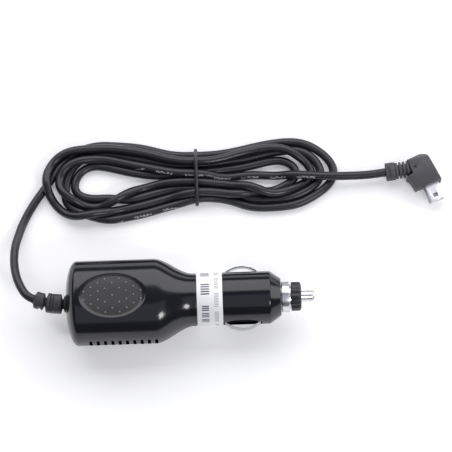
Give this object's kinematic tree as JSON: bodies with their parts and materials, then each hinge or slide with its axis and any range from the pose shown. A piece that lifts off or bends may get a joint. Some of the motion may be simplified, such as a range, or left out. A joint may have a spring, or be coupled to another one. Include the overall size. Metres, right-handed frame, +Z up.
{
  "type": "accessory socket power lead",
  "caption": "Bottle-shaped 12 V accessory-socket charger for an in-car camera, with sprung side contacts, fused tip, tied cord and right-angle mini USB plug.",
  "frame": {"origin": "on the table under the middle of the charger, without its cord", "axes": "+X along the charger from the cord to the tip contact, +Y across towards the folded cord, +Z up through the grip recess"},
  "size_m": [0.1727, 0.0836, 0.0283],
  "materials": {
    "gloss_black": "glossy moulded ABS",
    "label": "satin white film label",
    "nickel": "bright nickel plate",
    "black_cap": "moulded phenolic, knurled",
    "fibre": "red-brown fibre washer",
    "glass": "clear fuse glass",
    "copper": "enamelled copper wire",
    "spring_steel": "bright spring steel",
    "brass": "plain brass",
    "board": "green solder mask",
    "component_black": "moulded epoxy",
    "component_blue": "printed shrink sleeve",
    "wire_black": "PVC wire insulation",
    "wire_red": "PVC wire insulation",
    "black_pvc": "satin moulded PVC",
    "tie_black": "PVC-coated wire tie"
  },
  "bodies": {
    "charger": {"upper_housing": "gloss_black", "lower_housing": "gloss_black", "label_sleeve": "label", "threaded_bush": "nickel", "retaining_ring": "nickel", "contact_spring": "spring_steel", "spring_terminal": "brass", "circuit_board": "board", "inductor_core": "component_black", "inductor_winding": "copper", "input_capacitor": "component_blue", "output_capacitor": "component_blue", "regulator_chip": "component_black", "diode": "component_black", "wire_side_left": "wire_black", "wire_side_right": "wire_black", "wire_tip": "wire_red", "cord_wire_positive": "wire_red", "cord_wire_negative": "wire_black", "strain_relief": "black_pvc", "cord_lead": "black_pvc", "cord_hank": "black_pvc", "cable_tie": "tie_black", "cord_tail": "black_pvc", "plug_overmold": "black_pvc", "usb_shell": "nickel", "usb_insulator": "component_black", "usb_contact_1": "brass", "usb_contact_2": "brass", "usb_contact_3": "brass", "usb_contact_4": "brass", "usb_contact_5": "brass"},
    "cap": {"cap_washer": "fibre", "fuse_cap": "black_cap"},
    "tip": {"tip_contact": "nickel"},
    "fuse": {"fuse_glass": "glass", "fuse_end_rear": "nickel", "fuse_end_front": "nickel", "fuse_wire": "copper"},
    "left_contact": {"side_contact_left": "spring_steel"},
    "right_contact": {"side_contact_right": "spring_steel"}
  },
  "joints": [
    {"name": "cap_turn", "type": "hinge", "parent": "charger", "child": "cap", "pos_m": [0.041, 0, 0.014], "axis": [1, 0, 0], "range_deg": [0, 360]},
    {"name": "tip_press", "type": "slide", "parent": "charger", "child": "tip", "axis": [1, 0, 0], "range_m": [-0.003, 0], "stiffness_N_per_m": 800, "springref_m": 0.0005},
    {"name": "fuse_slide", "type": "slide", "parent": "charger", "child": "fuse", "axis": [1, 0, 0], "range_m": [-0.003, 0], "deforming": ["contact_spring"]},
    {"name": "left_press", "type": "slide", "parent": "charger", "child": "left_contact", "axis": [0, -1, 0], "range_m": [0, 0.002], "stiffness_N_per_m": 1000, "springref_m": -0.0004},
    {"name": "right_press", "type": "slide", "parent": "charger", "child": "right_contact", "axis": [0, 1, 0], "range_m": [0, 0.002], "stiffness_N_per_m": 1000, "springref_m": -0.0004}
  ],
  "couplings": [
    {"joint": "fuse_slide", "follows": "tip_press", "ratio": 1}
  ]
}
